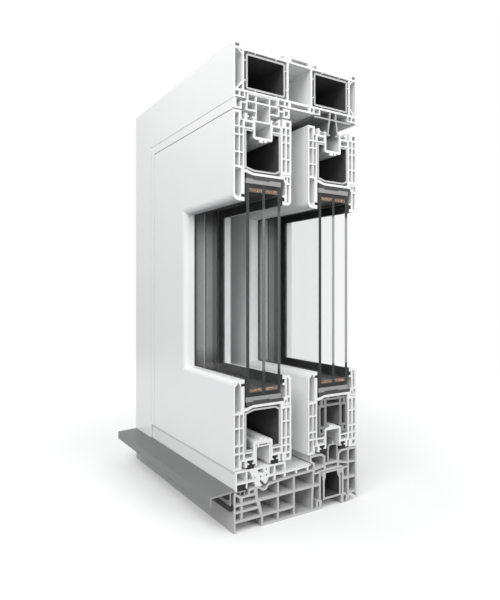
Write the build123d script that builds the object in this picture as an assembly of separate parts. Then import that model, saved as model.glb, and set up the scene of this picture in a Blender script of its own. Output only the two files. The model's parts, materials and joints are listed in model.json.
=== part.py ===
from build123d import *
import os

# Main sizes in millimetres: exterior face y = 0, jamb's outer face x = 0, floor z = 0
frame_depth = 191.0
frame_face = 64.0
sash_depth = 82.5
sash_face = 102.5
sash_to_frame = 13.5
opening_half = 102.0
glass_shown = 124.5
threshold_top = 69.5
seat_gap = 1.0
slide_seat_gap = 0.5

# Profile walls and reinforcements
wall = 2.5
web = 1.7
steel_wall = 2.2
steel_gap = 2.6
steel_seat = 1.4
leaf_steel_gap = 0.6
steel_stop = 32.0
corner_stop = 6.0
infill_reach = 3.8
end_gap = 0.4

# Groove in the leaf's back, for the guide, the rail and the liner
groove_half = 10.8
groove_depth = 17.8
rebate = 9.0
guide_gap = 1.2

# Glass unit: three panes, two bars between them, a seal round the edge
pane = 4.0
glass_front = 17.5
glass_edge = 20.5
bead_depth = 13.5
inner_gasket = 3.0
seal_band = 4.5
spacer_height = 5.0
spacer_wall = 0.8
bead_joint = 0.3
packer_length = 100.0

# Threshold, rail and sill
clip_front = 2.5
clip_setback = 8.5
rail_rise = 12.7
sill_top = 49.0
sill_reach = 30.0
sill_sheet = 2.0
sill_lip = 11.0
sill_fall = 1.6

stack = sash_face + sash_to_frame + frame_face
cut_x = stack + glass_shown
mid_height = threshold_top + seat_gap + sash_face + opening_half
nose_top = mid_height + opening_half
nose_bottom = mid_height - opening_half
leaf_shift = frame_depth - sash_depth
clip_back = sash_depth - clip_setback
groove_mid = sash_depth / 2 - 0.45
groove_0, groove_1 = groove_mid - groove_half, groove_mid + groove_half
seal_mid = groove_0 - 6.5
rail_mid = leaf_shift + groove_mid
leaf_back = sash_face - rebate
groove_floor = leaf_back - groove_depth
glass_back = sash_depth - bead_depth - inner_gasket
pane_pitch = (glass_back - glass_front - pane) / 2


def rect(y0, y1, s0, s1):
    """Rectangle between two depths and two heights of a profile."""
    return Pos((y0 + y1) / 2, (s0 + s1) / 2) * Rectangle(y1 - y0, s1 - s0)


def shape(*points):
    """Closed outline through the points, always turned the same way so that outlines join."""
    turn = sum(a[0] * b[1] - b[0] * a[1] for a, b in zip(points, points[1:] + points[:1]))
    return Polygon(*(points if turn > 0 else points[::-1]), align=None)


def cells(columns, rows):
    """Chambers of a profile, every column of depths crossed with every row of heights."""
    return [rect(y0, y1, s0, s1) for y0, y1 in columns for s0, s1 in rows]


def mirrored(half, middle):
    return half + mirror(half, about=Plane.YZ.offset(middle))


def room(x0, x1, z0, z1):
    """Everything between two widths and two heights, over the whole depth."""
    return Pos((x0 + x1) / 2, frame_depth / 2, (z0 + z1) / 2) * Box(x1 - x0, 3 * frame_depth, z1 - z0)


def keep_region(side, low=None):
    """Prism that leaves one member of a frame, cut at 45 degrees where it meets the next."""
    reach, inside = stack + frame_face, stack / 3
    top_in, top_out = (stack + inside, nose_top - inside), (stack - reach, nose_top + reach)
    low_in, low_out = (stack + inside, nose_bottom + inside), (stack - reach, nose_bottom - reach)
    if side == "top":
        points = [top_in, top_out, (cut_x, nose_top + reach), (cut_x, nose_top - inside)]
    elif side == "bottom":
        points = [low_in, low_out, (cut_x, nose_bottom - reach), (cut_x, nose_bottom + inside)]
    elif low is None:
        points = [top_in, top_out, low_out, low_in]
    else:
        points = [top_in, top_out, (stack - reach, low), (stack + inside, low)]
    return extrude(Plane.XZ * shape(*points), amount=2 * frame_depth, both=True)


def member(profile, side, y=0.0, low=None):
    """One side of a mitred frame. The profile's height runs outward from the edge of the glass opening."""
    if side == "top":
        plane = Plane(origin=(0, y, nose_top), x_dir=(0, 1, 0), z_dir=(1, 0, 0))
        length = cut_x
    elif side == "bottom":
        plane = Plane(origin=(cut_x, y, nose_bottom), x_dir=(0, 1, 0), z_dir=(-1, 0, 0))
        length = cut_x
    else:
        plane = Plane(origin=(stack, y, 0), x_dir=(0, 1, 0), z_dir=(0, 0, 1))
        length = nose_top + stack
    return extrude(plane * profile, amount=length, dir=plane.z_dir) & keep_region(side, low)


def mitred(profile, y=0.0):
    """Top, side and bottom of a leaf as three solids that meet at 45 degrees."""
    return [member(profile, side, y) for side in ("top", "side", "bottom")]


def welded(profile, y=0.0):
    """Top, side and bottom of one profile joined in one piece."""
    top, side, bottom = mitred(profile, y)
    return top + side + bottom


def straight(profile, x0, x1):
    """A run along x of a section drawn in depth and height above the floor."""
    plane = Plane(origin=(x0, 0, 0), x_dir=(0, 1, 0), z_dir=(1, 0, 0))
    return extrude(plane * profile, amount=x1 - x0, dir=plane.z_dir)


def frame_steel_room():
    """Depths and heights of the frame's outer steel chamber."""
    low = sash_face + sash_to_frame
    return 14.5, sash_depth - 7.0, low + 8.5 + wall, low + frame_face - 8.0


def frame_profile():
    """Outer frame: two steel chambers and a middle one, the same about the middle of its depth."""
    left, right, rise, top = frame_steel_room()
    low, inner, outer, high = rise - wall - 8.5, rise - wall, top, top + 8.0
    mid, block = frame_depth / 2, sash_depth - 10.5
    half = rect(0, mid, inner, outer + wall) + rect(0, wall, low, high)
    half += rect(0, 9.5, low + 1.5, inner) + rect(block, mid, low + 1, inner)
    half += rect(0, 10.5, outer, high) + rect(block + 8.5, mid, outer, high)
    half += rect(block - 9.4, block - 7.8, low + 1.5, inner) + rect(block - 9.4, block, low + 1.5, low + 3.1)
    half += rect(14.5, 16.1, low + 1.5, inner) + rect(9.5, 16.1, low + 1.5, low + 3.1)
    half += rect(block - 6, block, high - 2, high)
    half += rect(block - 6, block - 4.2, outer, high) + rect(15, 16.6, outer, high)
    half -= cells([(wall, 7.6), (block + 2, block + 6), (block + 10, mid)], [(low + 3.4, inner - 0.4)])
    half -= cells([(wall, 8.2), (block + 11, mid)], [(outer + wall, high - 1.8)])
    half -= shape((wall, rise), (3.2, rise), (12, rise + 10), (12, top - 6), (6, top), (wall, top))
    half -= shape((6, rise), (12, rise), (12, rise + 6.8))
    half -= shape((8.6, top), (12, top), (12, top - 3.4))
    half -= cells([(left, right), (right + 3, mid)], [(rise, top)])
    for y in (left + 15.5, right - 15.5):
        half += rect(y - 0.6, y + 0.6, rise, rise + 1) + rect(y - 0.6, y + 0.6, top - 1.6, top)
    for s in (rise + 11, top - 11):
        half += rect(left, left + 2.3, s - 0.6, s + 0.6) + rect(right - 2.3, right, s - 0.6, s + 0.6)
    return mirrored(half, mid)


def frame_steel_profile():
    """Square steel tube in the frame's outer chamber."""
    left, right, low, high = frame_steel_room()
    width, height = right - left - 2 * steel_gap, high - low - steel_seat - steel_gap
    middle = Pos((left + right) / 2, low + steel_seat + height / 2)
    hollow = RectangleRounded(width - 2 * steel_wall, height - 2 * steel_wall, 1)
    return middle * (RectangleRounded(width, height, 3) - hollow)


def sash_profile():
    """Leaf profile: an outer wall with small chambers, a steel chamber, and a groove in its back."""
    floor, ledge = 30.5, 36.4
    back, d = leaf_back, sash_depth
    body = shape(
        (0, 0), (15, 0), (15, 33.5), (27, floor), (d - 11.5, floor), (d - 11.5, ledge), (d, ledge),
        (d, sash_face), (d - 13.5, sash_face), (d - 13.5, back), (groove_1, back), (groove_1, groove_floor),
        (groove_0, groove_floor), (groove_0, back), (11, back), (11, sash_face), (0, sash_face),
    )
    nose = body.vertices().sort_by(Axis.Y)[:2].sort_by(Axis.X)[0]
    body = fillet(nose, 7)
    body -= rect(10.5, 15, 4.4, 7.9)
    body -= rect(2.3, 7.6, back - 8.6, sash_face - 2.8) + rect(d - 7.7, d - 2.7, back + 0.8, sash_face - 2.8)
    body -= shape((7, 2.9), (10.2, 8.4), (10.8, 36.6), (2.3, 37.9), (2.3, 8))
    steps = (39.8, 55.9, groove_floor + 0.1, back - 8.6, back + 0.2)
    rows = [(low, high - 1.6) for low, high in zip(steps, steps[1:])]
    body -= cells([(2.3, 7.6)], rows[:3])
    body -= cells([(9.1, 13), (d - 13.1, d - 9.1), (d - 6.5, d - 2.7)], rows)
    body -= cells([(15.5, groove_0 - 3.4), (groove_1 + 3.4, d - 16.2)], [(back - 8.3, back - 2.6)])
    steel_room = rect(15, d - 16.2, 36.5, back - 10)
    steel_room += shape((15, 37.6), (27, 33.5), (d - 16.2, 33.5), (d - 16.2, 37.6))
    channel = rect(groove_0 - wall - 0.4, groove_1 + wall + 0.4, groove_floor - 3.2, back)
    corners = channel.vertices().sort_by(Axis.Y)[:2]
    nubs = rect(groove_mid - 5.3, groove_mid, groove_floor - 6, groove_floor - 3)
    nubs += rect(groove_mid + 1.8, groove_mid + 5.2, groove_floor - 5.4, groove_floor - 3)
    body -= steel_room - fillet(corners, 3) - nubs
    lip = (back + 3.4, back + 4.9)
    hook = rect(seal_mid - 7.9, seal_mid - 4.7, back, back + 7.6) + rect(seal_mid - 4.7, seal_mid - 2.1, *lip)
    hook += rect(groove_0 - wall, groove_0, back, back + 4.9) + rect(seal_mid + 2.1, groove_0, *lip)
    return body + mirrored(hook, groove_mid)


def sash_steel_profile():
    """Open steel section bent round the leaf's groove."""
    left, right, t = 15 + leaf_steel_gap, sash_depth - 16.2 - leaf_steel_gap, 2.0
    top = leaf_back - 10 - leaf_steel_gap
    outer = rect(left, right, 38, top) + shape((left, 38), (27.6, 35), (right - 7, 35), (right, 38))
    inner = rect(left + t, right - t, 38 + t, top - t)
    inner += shape((left + t, 38 + t), (28, 35 + t), (right - 7.5, 35 + t), (right - t, 38 + t))
    return outer - inner - rect(groove_0 - 4, groove_1 + 4, groove_floor - 15, leaf_back)


def bead_profile():
    """Clipped glazing bead on the room side."""
    d = sash_depth
    body = shape(
        (d - 0.3, 0), (d - 0.3, 35.9), (d - 11.1, 35.9), (d - 11.1, 28), (d - 9.1, 25.6), (d - 9.1, 12.4),
        (d - 13.3, 11.2), (d - 13.3, 9), (d - 10.3, 9), (d - 10.3, 4.2), (d - 13.5, 4.2), (d - 13.5, 0),
    )
    nose = body.vertices().sort_by(Axis.Y)[:2].sort_by(Axis.X)[-1]
    body = fillet(nose, 6)
    body -= shape((d - 6.9, 2.4), (d - 3.9, 5.4), (d - 3.1, 25), (d - 6.9, 25))
    return body - rect(d - 9.3, d - 6.9, 29.6, 33.8) - rect(d - 5.3, d - 2.3, 27.4, 33.8)


def outer_gasket_profile():
    """Rubber strip between the leaf's nose and the glass, with a barbed stem in the leaf's groove."""
    return rect(15, glass_front, -1, glass_edge - 0.5) + rect(12, 15, 5, 7.3) + rect(10.8, 12, 4.6, 7.7)


def inner_gasket_profile():
    """Rubber strip between the bead and the glass."""
    foot = sash_depth - bead_depth
    return rect(glass_back, foot, -1, 9.8) + rect(foot, foot + 3, 4.6, 8.2)


def infill_profile():
    """White filler between the frame and the fixed leaf. Its middle reaches into the leaf's groove."""
    m, d, far = groove_mid, sash_depth, 2 * groove_mid
    low, step, top = sash_face - infill_reach, sash_face + 1.7, sash_face + sash_to_frame
    body = rect(18.6, far - 19.6, top - 2, top + 8) + rect(m - 23.6, m + 23.8, step, top)
    body += rect(groove_0 + 0.4, groove_1 - 0.4, low - 6, step)
    side, middle = 10.4, 8.8
    body -= cells([(20.4, m - side), (m - middle, m + middle), (m + side, far - 21.2)], [(top, top + 6.9)])
    body -= rect(m - middle, m + middle, low - 4.2, top - 1.9)
    body -= cells([(m - 21.6, m - side), (m + side, m + 22)], [(step + 1.9, top - 1.9)])
    body += rect(0.3, 4.2, step, top - 0.4) + rect(0.3, 11.4, step, step + 2.2)
    body += rect(9.6, 11.4, step, step + 9.4) + rect(9.6, m - 22.8, step + 7.6, step + 9.4)
    body += rect(d - 11.9, d - 2.5, step + 0.6, top - 0.4) + rect(m + 23.2, d - 11.5, step + 6.2, step + 8.2)
    return body - rect(d - 9.9, d - 4.9, step + 3, step + 8.6)


def guide_profile():
    """Aluminium guide: a plate under the head and two flared legs in the sliding leaf's groove."""
    seat, foot = sash_face + sash_to_frame, sash_face - 8.2
    reach = groove_half - guide_gap
    leg = shape((3 - reach, seat), (5.4 - reach, seat), (2.4 - reach, foot), (-reach, foot))
    leg += rect(-reach, 5.2 - reach, foot, foot + 1.8) + rect(3.4 - reach, 5.9 - reach, seat, seat + 8)
    return Pos(rail_mid, 0) * (rect(-31, 29.6, seat - 2, seat) + leg + mirror(leg, about=Plane.YZ))


def threshold_outline():
    """Outer shape of the threshold in depth and height."""
    top, m = threshold_top, rail_mid
    return shape(
        (0.5, 0), (0.5, 45), (3, 45), (9.4, 41.4), (10, 40.5), (19.6, 40.5), (20.6, 46), (27, 47.8), (31, 47),
        (36.4, 47), (40.8, 43.6), (44, 43.6), (48.6, 48), (clip_back + 1, 50.3), (m - 32.3, 52.3),
        (m - 32.3, 57.7), (m - 37.8, 61.6),
        (m - 37.8, top), (m - 18.3, top), (m - 12.5, top - 4), (m - 12.5, 56.5), (m + 8.5, 56.5),
        (m + 8.5, top - 4), (m + 14.7, top), (frame_depth, top), (frame_depth, 0),
    )


def fixed_side_chambers(low, first, second, third, bay):
    """Chambers of the threshold under the fixed leaf and between the leaves."""
    made = [shape((3, 42.6), (3, third), (9.8, third), (8.6, 38.6)), rect(12.6, 30, third, 38)]
    made.append(shape((22, 40.6), (22.6, 44), (28.4, 45), (28.4, 40.6)))
    made += cells([(3, 9.8)], [(first + 2.6, 21.8), (24.3, second)]) + [rect(3, 38, 0, first)]
    made += [shape((12.6, 24.3), (33, 24.3), (31.8, second), (12.6, second)),
             shape((12.6, first + 2.6), (36.6, first + 2.6), (34.2, 21.8), (12.6, 21.8))]
    wall_1, wall_2 = 38.5 + bay, 38.5 + 2 * bay
    end = rail_mid - 34
    made.append(shape((32.8, 44.8), (33.6, third), (wall_1 - 1.2, third), (wall_1 - 1.2, 47), (49.6, 45.8),
                      (45.2, 41.2), (39.8, 41.2), (35.4, 44.8)))
    made.append(shape((36.2, second), (40.6, first + 2.6), (wall_1 - 1.2, first + 2.6), (wall_1 - 1.2, second)))
    made += cells([(41, wall_1 - 1.2), (wall_1 + 1.2, wall_2 - 1.2)], [(low, first)])
    made.append(rect(wall_1 + 1.2, wall_2 - 1.2, first + 2.6, second))
    made.append(shape((wall_1 + 1.2, third), (wall_2 - 1.2, third), (wall_2 - 1.2, 48.4), (wall_1 + 1.2, 47.2)))
    made.append(shape((wall_2 + 1.2, third), (end + 0.4, third), (end + 0.6, 49.8), (wall_2 + 1.2, 48.6)))
    made.append(shape((wall_2 + 1.2, low), (end - 2, low), (end - 0.8, second), (wall_2 + 1.2, second)))
    return made


def slide_side_chambers(low, second, third):
    """Chambers of the threshold round the running rail's channel and its steel."""
    top, m = threshold_top, rail_mid
    inner = frame_depth - 2.8
    steel_0, steel_1, post = m - 20.1, m + 15.9, m + 25.3
    made = [rect(m - 30.8, steel_0 - 2.6, third, 45)]
    made.append(shape((m - 33, low), (m - 27.3, low), (m - 27.3, 12), (steel_0 - 2.6, 12),
                      (steel_0 - 2.6, second), (m - 31.8, second)))
    made.append(shape((m - 30.3, 47), (m - 15.1, 48.2), (m - 15.1, 51.4), (m - 29.9, 50.2)))
    made.append(rect(steel_0, steel_1, 0, 46.2) - rect(steel_0, steel_0 + 1.8, 0, 11)
                - rect(steel_1 - 1.8, steel_1, 0, 12))
    made.append(rect(m - 11.7, m + 7.7, 49.2, 53.8))
    made.append(shape((m + 11.1, 48.8), (m + 15.7, 48.6), (m + 18.7, 46), (post, 46), (post, 49.6),
                      (m + 11.1, 52.6)))
    made.append(rect(m + 18.7, post, third, 44))
    made.append(shape((m + 18.7, 14), (m + 21.7, 12), (post, 8), (post, second), (m + 18.7, second)))
    made.append(shape((m - 35.1, top - 2.6), (m - 19.3, top - 2.6), (m - 15.1, top - 5.6), (m - 15.1, 54.6),
                      (m - 29.7, 54.4), (m - 29.7, 59.2), (m - 35.1, 62.8)))
    made.append(shape((m + 11.1, top - 5.2), (m + 15.5, top - 2.6), (post, top - 2.6), (post, 52),
                      (m + 11.1, 55)))
    made.append(shape((post + 2.8, top - 2.6), (inner, top - 2.6), (inner, 51.2), (post + 2.8, 52.2)))
    made.append(shape((post + 2.8, third), (inner, third), (inner, 49), (post + 2.8, 50)))
    made += [rect(post + 2.8, inner, 12.4, second), rect(m + 18.7, m + 22.7, 0, 9)]
    made.append(rect(m - 24.7, steel_0 - 2.6, 3, 9.6))
    made.append(shape((post + 2.8, 0), (inner + 2.8, 0), (inner + 2.8, 4), (inner - 1, 9.8), (post + 2.8, 9.8)))
    return made


def threshold_profile():
    """Threshold: rows of chambers, a steel chamber and the channel of the running rail."""
    bay = (rail_mid - 33.8 - 38.5) / 3.2
    body = threshold_outline() - fixed_side_chambers(2.6, 11.0, 29.6, 32.6, bay)
    return body - slide_side_chambers(2.6, 29.6, 32.6)


def threshold_steel_profile():
    """Steel tube under the running rail, with two shoulders near its top."""
    outer = rect(-16.3, 13.7, 10.4, 45.6) + rect(-18.9, 15.6, 36.4, 45.6)
    inner = shape((-13.7, 12.8), (11.1, 12.8), (11.1, 34), (8.3, 38), (7.3, 43.4), (-11.5, 43.4),
                  (-12.3, 36.6), (-13.7, 34.6))
    return Pos(rail_mid, 0) * (outer - inner - rect(-19.3, -17.1, 36, 40.6) - rect(12.7, 15.9, 36, 39.6))


def clip_profile():
    """White clip strip of the threshold under the fixed leaf, with a broad foot below its middle."""
    top, front, back = threshold_top, clip_front, clip_back
    body = rect(front, back, top - 2.4, top) + rect(front, front + wall, 47, top)
    body += rect(16.9, 19, 48.2, top) + rect(front, 33, 54, 56)
    body += rect(50, back, 55.6, 57.6) + rect(56.4, 58.8, 50, top)
    body += shape((back - 2.6, 50.8), (back, 51), (back, top), (back - 2.6, top))
    body += shape((21.8, top - 2), (27.8, 55.6), (30.4, 47.4), (39.8, 47.4), (35.8, 53.4), (37.8, 54.4),
                  (43.2, 48.8), (45.6, 49.2), (50.4, 57), (50.4, top - 2))
    body -= shape((33.6, top - 2.6), (33.6, 63.6), (41.6, 61.6), (41.6, top - 4), (40.4, top - 2.6))
    for y, s, r in ((29.4, 58.2, 1.1), (37.9, 58, 1.2), (46, 58.6, 1.6), (45.6, 65.2, 1.2)):
        body -= Pos(y, s) * Circle(r)
    return body


def cover_profile():
    """Cover plate over the threshold's sloping top."""
    start, end = clip_back + 0.3, rail_mid - 36.3
    plate = shape((start, 55.4), (end - 5, 56.4), (end, 57.8), (end, 59.6), (end - 5, 58.6), (start, 57.6))
    return plate + rect(start + 15.2, start + 17.2, 51.6, 57) + rect(end - 6, end - 4, 52.4, 57)


def rail_profile():
    """Running rail of the sliding leaf, a hollow hat with a bead on top and two legs in the channel."""
    base, floor = threshold_top + 0.1, 56.5
    top = threshold_top + rail_rise
    body = shape((-8.9, base), (-8.4, top - 7.2), (-6.2, top - 3), (-1.6, top - 3), (-1.2, top), (1.2, top),
                 (1.6, top - 3), (6.4, top - 3), (8.2, top - 7.2), (8.4, base))
    body += rect(-8.9, -6.9, floor, base) + rect(6.3, 8.2, floor, base)
    hollow = shape((-6.9, base - 1), (-6.5, top - 7.6), (-5.2, top - 4.8), (5.2, top - 4.8), (6.3, top - 7.6),
                   (6.3, base - 1))
    return Pos(rail_mid, 0) * (body - hollow)


def sill_profile():
    """Exterior sill plate with a turned-down front lip, a leg, and a tongue that reaches under the clip."""
    back, front = clip_front - 0.3, -sill_reach
    edge = sill_top - sill_fall
    plate = shape((front, edge - sill_sheet), (front, edge), (back, sill_top), (back, sill_top - sill_sheet))
    lip = rect(front, front + sill_sheet, edge - sill_lip, edge)
    tongue = sill_top - 2.2
    legs = rect(-4.8, -2.8, sill_top - 16, sill_top - 1) + rect(0.4, back, tongue - 1.6, sill_top)
    legs += rect(8.6, 10.2, 42.2, tongue) + rect(14, 15.6, 40.9, tongue)
    return plate + lip + legs + rect(0.4, 16.5, tongue - 1.6, tongue)


def sill_gaskets():
    """Two rubber strips under the sill, one beside its leg and one below it."""
    upper = rect(-9, -5, sill_top - 8.4, sill_top - 2.9)
    return [straight(strip, 0, cut_x) for strip in (upper, rect(-5.4, -0.2, 26.6, sill_top - 16.2))]


def groove_insert_profile():
    """Liner in the groove of the fixed leaf's bottom."""
    y0, y1 = groove_0 + 0.2, groove_1 - 0.2
    low = groove_floor + 0.2
    body = rect(y0, y1, low, sash_face - 0.8)
    body -= rect(y0 + 1.8, y1 - 1.8, low + 4.2, sash_face)
    return body - cells([(y0 + 1, y0 + 3), (y0 + 5, y1 - 4.4), (y1 - 2.6, y1 - 1)], [(low + 1, low + 3)])


def bottom_seal_profile(mid, foot):
    """Rubber seal below the leaf: a head in the profile's slot, a neck and a broad body."""
    head = rect(mid - 2.6, mid + 2.6, sash_face - 8.6, sash_face - 6.4)
    neck = rect(mid - 1.5, mid + 1.5, sash_face - 6.6, sash_face - 3.6)
    return head + neck + rect(mid - 4.4, mid + 4.4, sash_face - 3.8, foot)


def bottom_seals(y, foot):
    """Two seals in the slots of the leaf's back. They stop at the infill in the jamb."""
    ends = room(stack - sash_face + infill_reach + end_gap, cut_x, 0, nose_bottom)
    profiles = [bottom_seal_profile(mid, foot) for mid in (seal_mid, 2 * groove_mid - seal_mid)]
    return [member(profile, "bottom", y) & ends for profile in profiles]


def slide_core_profile():
    """Multi-chamber reinforcement in the sliding leaf's bottom."""
    right = sash_depth - 16.9
    y0, y1 = groove_0 + 0.2, groove_1 + 0.8
    body = shape((20, 38), (23, 35), (right - 5.4, 35), (right - 3.4, 37), (right - 3.4, 45), (20, 45))
    body += rect(y0 + 1.2, y0 + 4.8, 33.7, 36) + rect(y1 - 4.4, y1 - 0.4, 33.7, 36) + rect(17.4, right, 42.8, 45.2)
    floor = groove_floor - 3.9
    body += rect(17.4, y0, 45, floor) + rect(y1, right, 45, floor)
    body += rect(17.4, groove_0 - 3.8, floor - 0.8, floor + 8.7)
    body += rect(groove_1 + 3.8, right, floor - 0.8, floor + 8.7)
    body -= cells([(y0 - 6.2, y0 - 3.8), (y0, y1 - 0.4), (y1 + 3, right - 6.8)], [(37.6, 42.6)])
    body -= cells([(20.4, y0 - 3.4), (y1 + 3.6, right - 3.3)], [(46, floor - 2)])
    return body - cells([(20.2, 23.8), (groove_1 + 7.8, right - 3)], [(floor + 1, floor + 5.8)])


def pane_solids(y):
    """Three panes, cut flush at the sample's cut face."""
    x0, half = stack - glass_edge, opening_half + glass_edge
    made = []
    for i in range(3):
        front = y + glass_front + i * pane_pitch
        made.append(Pos((x0 + cut_x) / 2, front + pane / 2, mid_height) * Box(cut_x - x0, pane, 2 * half))
    return made


def between_panes(i):
    """Depths of the gap between two panes."""
    y0 = glass_front + i * pane_pitch + pane
    return y0, y0 + pane_pitch - pane


def spacer_profile(i):
    """Hollow bar between two panes."""
    y0, y1 = between_panes(i)
    s1 = glass_edge - seal_band
    s0, t = s1 - spacer_height, spacer_wall
    return rect(y0, y1, s0, s1) - rect(y0 + t, y1 - t, s0 + t, s1 - t)


def desiccant_profile(i):
    """Grains that fill the hollow bar."""
    y0, y1 = between_panes(i)
    s1 = glass_edge - seal_band - spacer_wall
    return rect(y0 + spacer_wall, y1 - spacer_wall, s1 - spacer_height + 2 * spacer_wall, s1)


def edge_seal_profile(i):
    """Sealant behind the bar, round the edge of the glass unit."""
    y0, y1 = between_panes(i)
    return rect(y0, y1, glass_edge - seal_band, glass_edge - 0.4)


def packer_profile():
    """Grey glazing block, with a recess for the bridge below it."""
    block = rect(glass_front - 0.5, glass_back + 1, glass_edge + 0.3, glass_edge + 6)
    return block - rect(27, glass_back - 15.5, glass_edge + 4.8, glass_edge + 6)


def bridge_profile():
    """Dark bridge between a glazing block and the floor of the leaf's rebate."""
    y1, low = sash_depth - 12.4, glass_edge + 6.2
    body = shape((glass_front, low), (y1, low), (y1, 30.3), (27.1, 30.3), (glass_front, 32.6))
    return body + rect(27.2, glass_back - 15.7, low - 1.2, low)


def packed(profile, y):
    """One length of a packing profile above and one below the glass unit, next to the cut face."""
    ends = room(cut_x - packer_length, cut_x, 0, 2 * mid_height)
    return [member(profile, side, y) & ends for side in ("top", "bottom")]


def glazed_leaf(name, y):
    """All that makes one glazed leaf, apart from what is in its groove and its steel chamber."""
    beads = mitred(bead_profile(), y)
    beads[1] = beads[1] & (Pos(-bead_joint, 0, 0) * keep_region("side"))
    return {
        name + "_sash": welded(sash_profile(), y),
        name + "_outer_gasket": welded(outer_gasket_profile(), y),
        name + "_inner_gasket": welded(inner_gasket_profile(), y),
        name + "_beads": beads,
        name + "_panes": pane_solids(y),
        name + "_spacers": [welded(spacer_profile(i), y) for i in range(2)],
        name + "_desiccant": [welded(desiccant_profile(i), y) for i in range(2)],
        name + "_edge_seals": [welded(edge_seal_profile(i), y) for i in range(2)],
        name + "_packers": packed(packer_profile(), y),
        name + "_bridges": packed(bridge_profile(), y),
    }


def stopped(profile, side, y=0.0):
    """A reinforcement or liner that ends before the leaf's welded corner."""
    solid = member(profile, side, y)
    if side == "side":
        return solid & room(0, cut_x, nose_bottom - steel_stop, nose_top + steel_stop)
    return solid & room(stack - steel_stop - 8, cut_x, 0, 2 * mid_height)


def fixed_leaf():
    """Fixed leaf, with a steel in every side and a liner in the groove of its bottom."""
    made = glazed_leaf("fixed", 0.0)
    made["fixed_steels"] = [stopped(sash_steel_profile(), side) for side in ("top", "side", "bottom")]
    made["fixed_groove_insert"] = stopped(groove_insert_profile(), "bottom")
    foot = nose_bottom - threshold_top
    made["fixed_bottom_seals"] = bottom_seals(0.0, foot)
    return made


def sliding_leaf():
    """Sliding leaf, with steels above and at the side and a chambered core in its bottom."""
    made = glazed_leaf("sliding", leaf_shift)
    made["sliding_steels"] = [stopped(sash_steel_profile(), side, leaf_shift) for side in ("top", "side")]
    made["sliding_core"] = stopped(slide_core_profile(), "bottom", leaf_shift)
    foot = nose_bottom - threshold_top - slide_seat_gap
    made["sliding_bottom_seals"] = bottom_seals(leaf_shift, foot)
    return made


def outer_frame():
    """Head and jamb of one welded frame. The jamb's foot is cut to the threshold's shape."""
    profile = frame_profile()
    head = member(profile, "top")
    jamb = member(profile, "side", low=sill_top + 0.2)
    foot = threshold_outline() + rect(clip_front - 0.5, clip_back, 40, threshold_top)
    foot = straight(foot + rect(rail_mid - 37.8, rail_mid, 50, threshold_top), -1, stack)
    rail_room = straight(rect(rail_mid - 19, rail_mid + 16, 50, threshold_top + rail_rise), -1, stack)
    return head + (jamb - foot - rail_room)


def frame_steels():
    """Two steel tubes in the head and two in the jamb, each stopped short of the welded corner."""
    profile = frame_steel_profile()
    left, right = frame_steel_room()[:2]
    rows = (0.0, frame_depth - left - right)
    head_room = room(frame_face + corner_stop, cut_x, nose_top, nose_top + stack)
    top = nose_top + stack - frame_face - corner_stop
    jamb_room = room(0, stack, threshold_top + 20, top)
    return {
        "head_steels": [member(profile, "top", y) & head_room for y in rows],
        "jamb_steels": [member(profile, "side", y, low=threshold_top) & jamb_room for y in rows],
    }


def threshold():
    """Threshold and all that is fitted in and on it."""
    return {
        "threshold_body": straight(threshold_profile(), 0, cut_x),
        "threshold_steel": straight(threshold_steel_profile(), 2, cut_x),
        "threshold_clip": straight(clip_profile(), 0, cut_x),
        "threshold_cover": straight(cover_profile(), frame_face + 0.5, cut_x),
        "threshold_seal": straight(rect(5.3, 16.6, sill_top - 2, 53.8), 2, cut_x),
        "running_rail": straight(rail_profile(), 0, cut_x),
        "exterior_sill": straight(sill_profile(), 0, cut_x),
        "sill_gaskets": sill_gaskets(),
    }


def infills():
    profile = infill_profile()
    return {"head_infill": member(profile, "top"), "jamb_infill": member(profile, "side", low=threshold_top)}


def all_parts():
    """Every piece by its name."""
    made = {"outer_frame": outer_frame(), **frame_steels(), **infills(), **threshold()}
    made["head_guide"] = member(guide_profile(), "top") & room(frame_face + corner_stop, cut_x, 0, 2 * nose_top)
    made.update(fixed_leaf())
    made.update(sliding_leaf())
    return made


def save(name, part):
    """Centre the sample on its footprint and write one file for the piece."""
    home = Pos(-cut_x / 2, -(frame_depth - sill_reach) / 2, 0)
    whole = Compound(children=part) if isinstance(part, list) else part
    export_step(home * whole, "parts/" + name + ".step")


os.makedirs("parts", exist_ok=True)
for name, part in all_parts().items():
    save(name, part)
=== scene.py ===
import bpy
import json
import math
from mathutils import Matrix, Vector


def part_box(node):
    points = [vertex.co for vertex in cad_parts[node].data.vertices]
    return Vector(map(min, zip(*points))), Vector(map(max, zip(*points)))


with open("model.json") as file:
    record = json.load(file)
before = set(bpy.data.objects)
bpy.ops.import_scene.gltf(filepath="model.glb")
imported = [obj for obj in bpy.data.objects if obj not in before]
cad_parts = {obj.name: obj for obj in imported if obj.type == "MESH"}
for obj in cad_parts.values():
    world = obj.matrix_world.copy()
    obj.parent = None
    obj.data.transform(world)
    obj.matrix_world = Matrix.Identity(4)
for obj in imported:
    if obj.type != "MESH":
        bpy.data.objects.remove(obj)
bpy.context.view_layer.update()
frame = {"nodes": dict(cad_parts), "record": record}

# All lengths are in metres
MILLI = 0.001

# The sky as light, and the dark flag as a mirror shows it: its brightness, the way to it, and the cosines of the angle
# from that way where its soft edge begins and where it is full
SKY_LIGHT = 0.72
SKY_TINT = (0.985, 0.992, 1.0, 1.0)
FLAG = 0.06
FLAG_SIDE = (-0.857, -0.515, 0.0)
FLAG_START, FLAG_FULL = 0.55, 0.85

# Floor: its radius, how far it lies below the part, its grey to the eye and as light on the part, and its glow near and
# far, with the radii between which that grows
FLOOR_RADIUS = 1.25
FLOOR_DROP = 0.2 * MILLI
FLOOR_SEEN, FLOOR_LIT = 0.68, 0.26
FLOOR_GLOW, FAR_GLOW = 0.22, 0.50
GLOW_NEAR, GLOW_FAR = 0.3, 0.9

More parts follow.
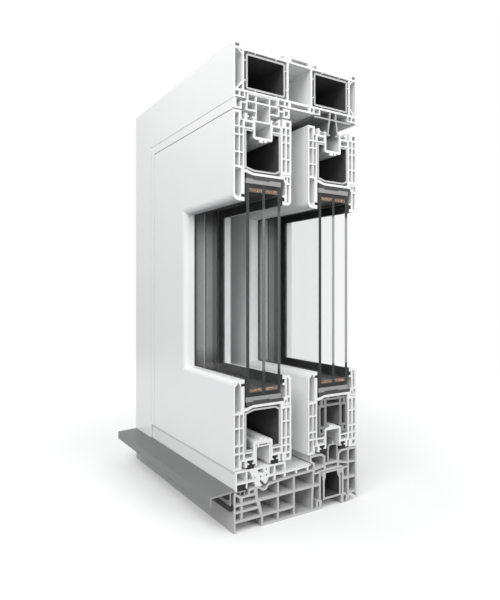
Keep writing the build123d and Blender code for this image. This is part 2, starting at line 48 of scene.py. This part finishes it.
# The patch under the part that doesn't glow: its soft edge, and where it ends towards the room
PATCH_EDGE = 12 * MILLI
ROOM_SIDE_Y = 0.11

# Each lamp's name, place, target, width, and power in watts
LAMPS = (
    ("key", (0.9, -1.25, 1.75), (0.05, 0.0, 0.4), 1.1, 23.0),
    ("front", (-0.9, -1.0, 1.3), (0.0, 0.0, 0.35), 1.0, 4.6),
    ("side", (1.9, 0.5, 0.75), (0.1, 0.0, 0.28), 0.8, 17.5),
)

# Camera: it stands level, turned about the vertical by degrees, with the photo's two-point perspective
CAMERA_PLACE = (0.63639, -0.37896, 0.275)
CAMERA_TURN = 59.006
CAMERA_LENS = 30.313
CAMERA_SHIFT = (0.0375, -0.01625)

# Places on the door that the looks follow: the step from one leaf to the other and the slack before it, the width of a
# leaf's members, how deep the sawn look reaches, half a weld's width and its soft edge, the sawn face, the jamb's outer
# side, the sight lines round the glass, and the way in to the middle pane of a leaf
LEAF_STEP = 108.5 * MILLI
STEP_SLACK = 5 * MILLI
SASH_FACE = 102.5 * MILLI
SAW_SKIN = 0.4 * MILLI
WELD_CORE, WELD_EDGE = 0.1 * MILLI, 0.45 * MILLI
sash_low, sash_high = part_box("fixed_sash")
CUT_X = sash_high.x
JAMB_X = -CUT_X
SIGHT_X = sash_low.x + SASH_FACE
MID_Z = (sash_low.z + sash_high.z) / 2
HALF_Z = (sash_high.z - sash_low.z) / 2 - SASH_FACE
pane_low, pane_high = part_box("fixed_panes")
PANE_MIDDLE = (pane_low.y + pane_high.y) / 2 - sash_low.y

# Steels: the middle of a frame tube behind its face, the middle of a leaf's steel inside its outer edge, the rise of
# the threshold tube's middle above its box's, and the reach within which a surface belongs to a tube
FRAME_TUBE = 27.9 * MILLI
LEAF_STEEL = 42 * MILLI
THRESHOLD_TUBE_RISE = 1 * MILLI
TUBE_REACH = 42 * MILLI
TUBE_FACING = 0.5 * MILLI

# Spacer bars on the stiles: a bright line before the middle pane, and the painted shade behind it and at the ends
BRIGHT_LINE_WIDTH = 3.2 * MILLI
SHADE_START, SHADE_END = 11 * MILLI, 13 * MILLI
END_SHADE_START, END_SHADE_END = 24 * MILLI, 4 * MILLI

# Sawn edges of the panes: where the sealed stretch at both ends begins and is full, and how near to the middle pane's
# middle its own edge lies
SEALED_START, SEALED_END = 10 * MILLI, 6 * MILLI
PANE_REACH = 4 * MILLI

# The range that most of a noise lies in
NOISE_LOW, NOISE_HIGH = 0.3, 0.7

# Glass: its tint, how much it bends sight, how much it mirrors, which is little as in the photo, and the share of
# lamp light that gets through each face of a pane
GLASS_TINT = (0.968, 0.971, 0.970, 1.0)
GLASS_IOR = 1.5
MIRROR_IOR = 1.16
PANE_LIGHT = 0.98

# Tint of galvanised steel
COOL = (1.0, 1.01, 1.03)


def grey(value, tint=(1.0, 1.0, 1.0)):
    """A colour of one brightness, with a tint."""
    return tuple(value * t for t in tint) + (1.0,)


class Tree:
    """The node tree of a material or of the world, built with short calls."""

    def __init__(self, owner, output):
        owner.use_nodes = True
        self.tree = owner.node_tree
        self.tree.nodes.clear()
        self.out = self.tree.nodes.new(output)

    def node(self, kind, inputs=None, **settings):
        made = self.tree.nodes.new("ShaderNode" + kind)
        for key, value in settings.items():
            setattr(made, key, value)
        for key, value in (inputs or {}).items():
            self.join(value, made.inputs[key])
        return made

    def value(self, kind, inputs=None, output=0, **settings):
        return self.node(kind, inputs, **settings).outputs[output]

    def join(self, value, socket):
        if isinstance(value, bpy.types.NodeSocket):
            self.tree.links.new(value, socket)
        else:
            socket.default_value = value

    def show(self, shader):
        self.join(shader, self.out.inputs[0])

    def math(self, operation, a, b=0.0, c=0.0):
        return self.value("Math", {0: a, 1: b, 2: c}, operation=operation)

    def times(self, a, b):
        return self.math("MULTIPLY", a, b)

    def minus(self, a, b):
        return self.math("SUBTRACT", a, b)

    def above(self, a, b):
        return self.math("GREATER_THAN", a, b)

    def below(self, a, b):
        return self.math("LESS_THAN", a, b)

    def vector_math(self, operation, a, b=(0.0, 0.0, 0.0), output=0):
        return self.value("VectorMath", {0: a, 1: b}, output, operation=operation)

    def vector(self, x, y, z):
        return self.value("CombineXYZ", {0: x, 1: y, 2: z})

    def split(self, vector):
        return self.node("SeparateXYZ", {0: vector}).outputs

    def noise(self, point, scale, detail=2.0, roughness=0.5):
        inputs = {"Vector": point, "Scale": scale, "Detail": detail, "Roughness": roughness}
        return self.value("TexNoise", inputs)

    def cells(self, point, scale, output="Distance"):
        return self.value("TexVoronoi", {"Vector": point, "Scale": scale}, output)

    def span(self, value, low, high, to_low=0.0, to_high=1.0):
        """The range low to high spread over another, with nothing past its ends."""
        inputs = {0: value, 1: low, 2: high, 3: to_low, 4: to_high}
        return self.value("MapRange", inputs, clamp=True)

    def vary(self, noise, to_low=0.0, to_high=1.0):
        """A noise spread over a range."""
        return self.span(noise, NOISE_LOW, NOISE_HIGH, to_low, to_high)

    def mix(self, factor, a, b):
        """A colour between two others. The inputs' numbers are those of the node's colour sockets."""
        return self.value("Mix", {0: factor, 6: a, 7: b}, 2, data_type="RGBA")

    def mix_shaders(self, factor, a, b):
        return self.value("MixShader", {0: factor, 1: a, 2: b})

    def blend(self, factor, a, b):
        """A number between two others."""
        return self.math("MULTIPLY_ADD", factor, self.minus(b, a), a)

    def bump(self, height, distance, strength=1.0):
        return self.value("Bump", {"Height": height, "Distance": distance, "Strength": strength})


class Look(Tree):
    """A material of the door, with the places on the door that it follows."""

    def __init__(self, name):
        self.mat = bpy.data.materials.new(name)
        super().__init__(self.mat, "ShaderNodeOutputMaterial")
        self.point = self.value("TexCoord", output="Object")
        self.x, self.y, self.z = self.split(self.point)

    def cut_face(self):
        """1 on the sawn face of the sample, 0 elsewhere."""
        return self.above(self.x, CUT_X - SAW_SKIN)

    def saw_marks(self):
        return self.noise(self.vector(0.0, self.times(self.y, 0.12), self.z), scale=2600.0)

    def along(self, share):
        """The point with its x shortened, which draws a noise out into lines along the door."""
        return self.vector(self.times(self.x, share), self.y, self.z)

    def level(self):
        """Height from the middle of the glass, up or down."""
        return self.math("ABSOLUTE", self.minus(self.z, MID_Z))

    def profile(self):
        """The mitred members' own coordinate, height outward from the glass, and 1 along their welded mitres."""
        side = self.minus(SIGHT_X, self.x)
        top = self.minus(self.level(), HALF_Z)
        apart = self.math("ABSOLUTE", self.minus(side, top))
        above_sill = self.above(self.z, MID_Z - HALF_Z - SASH_FACE)
        seam = self.times(above_sill, self.span(apart, WELD_CORE, WELD_EDGE, 1.0, 0.0))
        return self.math("MAXIMUM", side, top), seam

    def leaf_depth(self):
        """The way in from the outer face of either leaf, and 1 on the sliding leaf."""
        depth = self.minus(self.y, sash_low.y)
        return self.math("MODULO", depth, LEAF_STEP), self.above(depth, LEAF_STEP - STEP_SLACK)

    def normal(self):
        return self.value("NewGeometry", output="Normal")

    def principled(self, color, roughness, normal=None, metallic=0.0, specular=0.5):
        inputs = {"Base Color": color, "Roughness": roughness, "Metallic": metallic, "Specular IOR Level": specular}
        if normal is not None:
            inputs["Normal"] = normal
        return self.value("BsdfPrincipled", inputs)


def pvc_white():
    """Satin-gloss white extrusion: faint lines along it, orange peel, weld marks, and matt sawn edges."""
    look = Look("pvc_white")
    across, seam = look.profile()
    cut = look.cut_face()
    lines = look.noise(look.vector(across, look.y, 0.0), scale=2300.0, detail=3.0, roughness=0.6)
    cloud = look.noise(look.point, scale=9.0, detail=3.0)
    peel = look.noise(look.point, scale=420.0)
    sawn = look.saw_marks()
    face = look.mix(look.vary(cloud), grey(0.830, (1.0, 1.002, 1.004)), grey(0.855, (1.0, 1.001, 1.003)))
    face = look.mix(look.span(lines, 0.35, 0.7, 0.0, 0.05), face, grey(0.76))
    edge = look.mix(look.vary(sawn), grey(0.725), grey(0.765))
    color = look.mix(cut, face, edge)
    roughness = look.blend(cut, look.vary(lines, 0.29, 0.35), 0.62)
    skin = look.math("ADD", look.times(peel, 0.25), look.times(lines, 0.06))
    height = look.minus(look.blend(cut, skin, sawn), look.times(seam, 1.6))
    look.show(look.principled(color, roughness, look.bump(height, 0.05 * MILLI, strength=0.5)))
    return look.mat


def threshold_grey():
    """Light grey matt extrusion with rougher sawn edges."""
    look = Look("threshold_grey")
    cut = look.cut_face()
    lines = look.noise(look.along(0.01), scale=1100.0, detail=3.0, roughness=0.6)
    cloud = look.noise(look.point, scale=14.0, detail=3.0)
    sawn = look.saw_marks()
    face = look.mix(look.vary(cloud), grey(0.50), grey(0.54))
    face = look.mix(look.span(lines, 0.4, 0.7, 0.0, 0.25), face, grey(0.44))
    edge = look.mix(look.vary(sawn), grey(0.455), grey(0.525))
    color = look.mix(cut, face, edge)
    roughness = look.blend(cut, look.vary(lines, 0.42, 0.55), 0.7)
    normal = look.bump(look.blend(cut, lines, sawn), 0.05 * MILLI, strength=0.5)
    look.show(look.principled(color, roughness, normal))
    return look.mat


def steel(name, tubes):
    """Galvanised section: spangle outside, painted shade inside, and a cut edge. Each of its tubes is a middle and an
    axis.
    """
    look = Look(name)
    cut = look.cut_face()
    tone = look.value("SeparateColor", {0: look.cells(look.point, scale=170.0, output="Color")})
    fine = look.noise(look.point, scale=700.0, detail=3.0)
    normal = look.normal()
    shaded_inside = 0.0
    for middle, axis in tubes:
        crossways = tuple(0.0 if i == axis else 1.0 for i in range(3))
        way = look.vector_math("MULTIPLY", look.vector_math("SUBTRACT", look.point, middle), crossways)
        near = look.below(look.vector_math("LENGTH", way, output="Value"), TUBE_REACH)
        outward = look.vector_math("DOT_PRODUCT", way, normal, "Value")
        shaded_inside = look.math("MAXIMUM", shaded_inside, look.times(near, look.below(outward, -TUBE_FACING)))
    color = look.mix(tone, grey(0.30, COOL), grey(0.42, COOL))
    # Painted shade on the tubes' inner faces: dark grey here and less metallic below
    color = look.mix(shaded_inside, color, grey(0.10))
    color = look.mix(cut, color, grey(0.46))
    roughness = look.span(look.math("ADD", tone, fine), 0.5, 1.5, 0.34, 0.5)
    metallic = look.times(look.blend(shaded_inside, 0.75, 0.2), look.minus(1.0, cut))
    look.show(look.principled(color, roughness, look.bump(fine, 0.04 * MILLI, strength=0.4), metallic))
    return look.mat


def brushed(name, low, high, metallic):
    """Drawn or brushed metal between two greys, with lines along its length and a plain cut edge."""
    look = Look(name)
    cut = look.cut_face()
    lines = look.noise(look.along(0.006), scale=2400.0, detail=4.0, roughness=0.7)
    cloud = look.noise(look.point, scale=20.0)
    tint = (1.0, 1.005, 1.015)
    color = look.mix(look.vary(lines), grey(low, tint), grey(high, tint))
    color = look.mix(look.span(cloud, 0.3, 0.8, 0.0, 0.25), color, grey(low * 0.9))
    color = look.mix(cut, color, grey(high * 1.15))
    metal = look.times(look.minus(1.0, cut), metallic)
    normal = look.bump(lines, 0.03 * MILLI, strength=0.4)
    look.show(look.principled(color, look.vary(lines, 0.32, 0.48), normal, metal))
    return look.mat


def spacer():
    """Hollow spacer bars: painted shade on top and below, and on the stiles a face painted as lit, with a bright line.
    """
    look = Look("spacer")
    cut = look.cut_face()
    fine = look.noise(look.along(0.02), scale=1600.0, detail=3.0)
    # Painted light: faces that look along +x get the lit grey below, the rest a dark painted shade
    lit_upright = look.times(look.above(look.split(look.normal())[0], 0.5), look.minus(1.0, cut))
    depth, slides = look.leaf_depth()
    near = look.below(depth, PANE_MIDDLE)
    # A bright line just before the middle pane
    bright_line = look.times(near, look.above(depth, PANE_MIDDLE - BRIGHT_LINE_WIDTH))
    # Painted light: brightness of the stiles' face behind the middle pane and before it, painted brighter on the
    # sliding leaf
    behind = look.span(depth, PANE_MIDDLE + SHADE_START, PANE_MIDDLE + SHADE_END, 0.26, 0.13)
    face = look.blend(near, behind, look.blend(slides, 0.305, 0.43))
    # Painted shade towards the top and bottom ends of the stiles, weaker on the sliding leaf
    ends = look.span(look.level(), HALF_Z - END_SHADE_START, HALF_Z - END_SHADE_END, 1.0, 0.45)
    face = look.times(face, look.math("MAXIMUM", ends, look.times(slides, 0.85)))
    face = look.math("MULTIPLY_ADD", bright_line, 0.30, face)
    # The top and bottom bars get a dark painted shade, and the stiles the painted light above
    tone = look.blend(lit_upright, look.vary(fine, 0.065, 0.085), look.times(face, look.vary(fine, 0.9, 1.1)))
    color = look.value("CombineColor", {0: tone, 1: tone, 2: tone})
    look.show(look.principled(color, 0.5, look.bump(fine, 0.03 * MILLI, strength=0.4), specular=0.25))
    return look.mat


def rubber(name, value):
    """Black sealing rubber with a matt, slightly dusty skin, and darker where it is cut."""
    look = Look(name)
    fine = look.noise(look.point, scale=1500.0, detail=3.0)
    cloud = look.noise(look.point, scale=60.0, detail=3.0)
    color = look.mix(look.span(cloud, 0.3, 0.8), grey(value * 3.0), grey(value * 4.8))
    color = look.mix(look.times(look.cut_face(), 0.8), color, grey(value * 0.8))
    normal = look.bump(fine, 0.05 * MILLI, strength=0.5)
    look.show(look.principled(color, look.vary(fine, 0.6, 0.8), normal, specular=0.2))
    return look.mat


def grains():
    """Drying beads that fill the spacer bars."""
    look = Look("desiccant")
    bead_scale = 700.0
    beads = look.cells(look.point, bead_scale)
    tone = look.value("SeparateColor", {0: look.cells(look.point, bead_scale, output="Color")})
    patch = look.noise(look.point, scale=260.0)
    color = look.mix(tone, (0.26, 0.14, 0.075, 1.0), (0.62, 0.42, 0.29, 1.0))
    color = look.mix(look.span(patch, 0.40, 0.58, 0.0, 0.8), color, (0.17, 0.085, 0.045, 1.0))
    # Painted shade between the beads: each bead darker towards its edge
    color = look.mix(look.span(beads, 0.40, 0.80), color, (0.09, 0.045, 0.03, 1.0))
    normal = look.bump(look.minus(1.0, beads), 0.3 * MILLI, strength=0.8)
    look.show(look.principled(color, look.span(beads, 0.0, 0.6, 0.55, 0.85), normal))
    return look.mat


def plain_plastic(name, low, high, speckle):
    """Moulded or extruded plastic between two greys, with a fine speckle."""
    look = Look(name)
    dots = look.cells(look.point, scale=900.0)
    cloud = look.noise(look.point, scale=45.0, detail=3.0)
    color = look.mix(look.vary(cloud), grey(low), grey(high))
    color = look.mix(look.span(dots, 0.05, 0.25, speckle, 0.0), color, grey(high * 1.6))
    color = look.mix(look.times(look.cut_face(), 0.5), color, grey(high * 1.35))
    normal = look.bump(dots, 0.05 * MILLI, strength=0.4)
    look.show(look.principled(color, look.vary(cloud, 0.5, 0.65), normal))
    return look.mat


def pane_edge(look):
    """Ground edges of the panes: dark where the unit is sealed, and paler on the inner panes between."""
    ground = look.vary(look.noise(look.vector(0.0, look.y, look.z), scale=1800.0, detail=3.0))
    depth, slides = look.leaf_depth()
    shown = look.span(look.level(), HALF_Z - SEALED_START, HALF_Z - SEALED_END, 1.0, 0.0)
    inner = look.above(depth, PANE_MIDDLE - PANE_REACH)
    last = look.above(depth, PANE_MIDDLE + PANE_REACH)
    paler = look.blend(slides, look.blend(last, 0.40, 0.16), 0.95)
    color = look.mix(ground, (0.013, 0.016, 0.016, 1.0), (0.025, 0.029, 0.029, 1.0))
    color = look.mix(look.times(look.times(inner, shown), paler), color, grey(0.31, (1.0, 1.02, 1.015)))
    return look.principled(color, 0.5, specular=0.3)


def glass():
    """Clear panes: they bend sight and mirror at a slant, and hold back some of the light."""
    look = Look("glass")
    rays = look.node("LightPath").outputs
    lamps = look.math("MAXIMUM", rays["Is Shadow Ray"], rays["Is Diffuse Ray"])
    haze = look.span(look.noise(look.point, scale=7.0), 0.3, 0.8, 0.0, 0.012)
    bend = look.value("BsdfRefraction", {"Color": GLASS_TINT, "Roughness": haze, "IOR": GLASS_IOR})
    gloss = look.value("BsdfGlossy", {"Color": grey(1.0), "Roughness": haze})
    clear = look.mix_shaders(look.value("Fresnel", {"IOR": MIRROR_IOR}), bend, gloss)
    shade = look.value("BsdfTransparent", {"Color": grey(PANE_LIGHT)})
    body = look.mix_shaders(lamps, clear, shade)
    look.show(look.mix_shaders(look.cut_face(), body, pane_edge(look)))
    return look.mat


def steel_for(node):
    """The steel look of one node, with the middle of each of its tubes and the axis that the tube runs along."""
    low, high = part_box(node)
    middle = (low + high) / 2
    if node in ("head_steels", "jamb_steels"):
        axis = 0 if node == "head_steels" else 2
        outer, inner = low.y + FRAME_TUBE, high.y - FRAME_TUBE
        return steel(node, [((middle.x, outer, middle.z), axis), ((middle.x, inner, middle.z), axis)])
    if node == "threshold_steel":
        return steel(node, [((middle.x, middle.y, middle.z + THRESHOLD_TUBE_RISE), 0)])
    out = SASH_FACE - LEAF_STEEL
    tubes = [((middle.x, middle.y, MID_Z + HALF_Z + out), 0), ((SIGHT_X - out, middle.y, MID_Z), 2)]
    if node == "fixed_steels":
        tubes.append(((middle.x, middle.y, MID_Z - HALF_Z - out), 0))
    return steel(node, tubes)


looks = {
    "pvc_white": pvc_white(),
    "threshold_grey": threshold_grey(),
    "aluminium": brushed("aluminium", 0.26, 0.33, 0.3),
    "sill_grey": brushed("sill_grey", 0.19, 0.235, 0.5),
    "rubber": rubber("rubber", 0.018),
    "glass": glass(),
    "spacer": spacer(),
    "desiccant": grains(),
    "edge_seal": rubber("edge_seal", 0.018),
    "packer": plain_plastic("packer", 0.185, 0.23, 0.15),
    "bridge": plain_plastic("bridge", 0.018, 0.026, 0.3),
    "core_grey": plain_plastic("core_grey", 0.15, 0.19, 0.5),
}


def dress(node, material):
    slots = frame["nodes"][node].data.materials
    for i in range(len(slots)):
        slots[i] = material


for part in frame["record"]["subparts"]:
    node, slot = part["node"], part["material_slot"]
    dress(node, steel_for(node) if slot == "steel" else looks[slot])


class Stage(Tree):
    """The node tree of the floor or the world, which tells apart the rays that meet it."""

    def __init__(self, owner, output):
        super().__init__(owner, output)
        self.rays = self.node("LightPath").outputs

    def direct(self):
        """1 for what the camera, gloss and glass see, 0 for light on the object."""
        seen = self.math("MAXIMUM", self.rays["Is Camera Ray"], self.rays["Is Glossy Ray"])
        return self.math("MAXIMUM", seen, self.rays["Is Transmission Ray"])

    def mirrored(self):
        """1 for what a mirror shows, and 0 for what is seen through glass, which counts as a glossy ray too."""
        return self.math("MINIMUM", self.rays["Glossy Depth"], 1.0)


def make_world():
    """White to the eye, softer as light, with a dark studio flag at the left front that only mirrors show."""
    world = bpy.data.worlds.new("studio")
    bpy.context.scene.world = world
    stage = Stage(world, "ShaderNodeOutputWorld")
    way = stage.value("TexCoord", output="Generated")
    toward = stage.vector_math("DOT_PRODUCT", way, FLAG_SIDE, "Value")
    flag = stage.span(toward, FLAG_START, FLAG_FULL, 1.0, FLAG)
    seen = stage.value("Background", {0: grey(1.0), 1: stage.blend(stage.mirrored(), 1.0, flag)})
    light = stage.value("Background", {0: SKY_TINT, 1: SKY_LIGHT})
    stage.show(stage.mix_shaders(stage.direct(), light, seen))


def make_floor():
    """White floor: it keeps the object's shadow, and its own glow is only for the eye, gloss and glass."""
    bpy.ops.mesh.primitive_circle_add(
        vertices=96, radius=FLOOR_RADIUS, fill_type="NGON", location=(0.0, 0.0, -FLOOR_DROP))
    floor = bpy.context.object
    floor.name = "studio_floor"
    mat = bpy.data.materials.new("studio_floor")
    stage = Stage(mat, "ShaderNodeOutputMaterial")
    direct = stage.direct()
    place = stage.value("TexCoord", output="Object")
    x, y = stage.split(place)[:2]
    under = stage.times(stage.span(x, CUT_X - PATCH_EDGE, CUT_X, 1.0, 0.0),
                        stage.span(y, sash_low.y, sash_low.y + PATCH_EDGE))
    under = stage.times(under, stage.below(y, ROOM_SIDE_Y))
    under = stage.times(under, stage.span(x, JAMB_X, JAMB_X + PATCH_EDGE))
    away = stage.vector_math("LENGTH", place, output="Value")
    shine = stage.times(stage.span(away, GLOW_NEAR, GLOW_FAR, FLOOR_GLOW, FAR_GLOW), stage.minus(1.0, under))
    diffuse = stage.value("BsdfDiffuse", {0: stage.mix(direct, grey(FLOOR_LIT), grey(FLOOR_SEEN))})
    glow = stage.value("Emission", {1: stage.times(direct, shine)})
    stage.show(stage.value("AddShader", {0: diffuse, 1: glow}))
    floor.data.materials.append(mat)


def area_light(name, place, target, size, power):
    data = bpy.data.lights.new(name, "AREA")
    data.size = size
    data.energy = power
    lamp = bpy.data.objects.new(name, data)
    lamp.location = place
    lamp.rotation_euler = (Vector(target) - Vector(place)).to_track_quat("-Z", "Y").to_euler()
    bpy.context.scene.collection.objects.link(lamp)


def make_camera():
    data = bpy.data.cameras.new("camera")
    data.sensor_width = 36.0
    data.sensor_fit = "AUTO"
    data.lens = CAMERA_LENS
    data.shift_x, data.shift_y = CAMERA_SHIFT
    data.clip_start, data.clip_end = 0.01, 100.0
    camera = bpy.data.objects.new("camera", data)
    camera.location = CAMERA_PLACE
    camera.rotation_euler = (math.radians(90.0), 0.0, math.radians(CAMERA_TURN))
    bpy.context.scene.collection.objects.link(camera)
    bpy.context.scene.camera = camera


make_world()
make_floor()
for lamp_values in LAMPS:
    area_light(*lamp_values)
make_camera()
bpy.context.scene.view_settings.view_transform = "Standard"
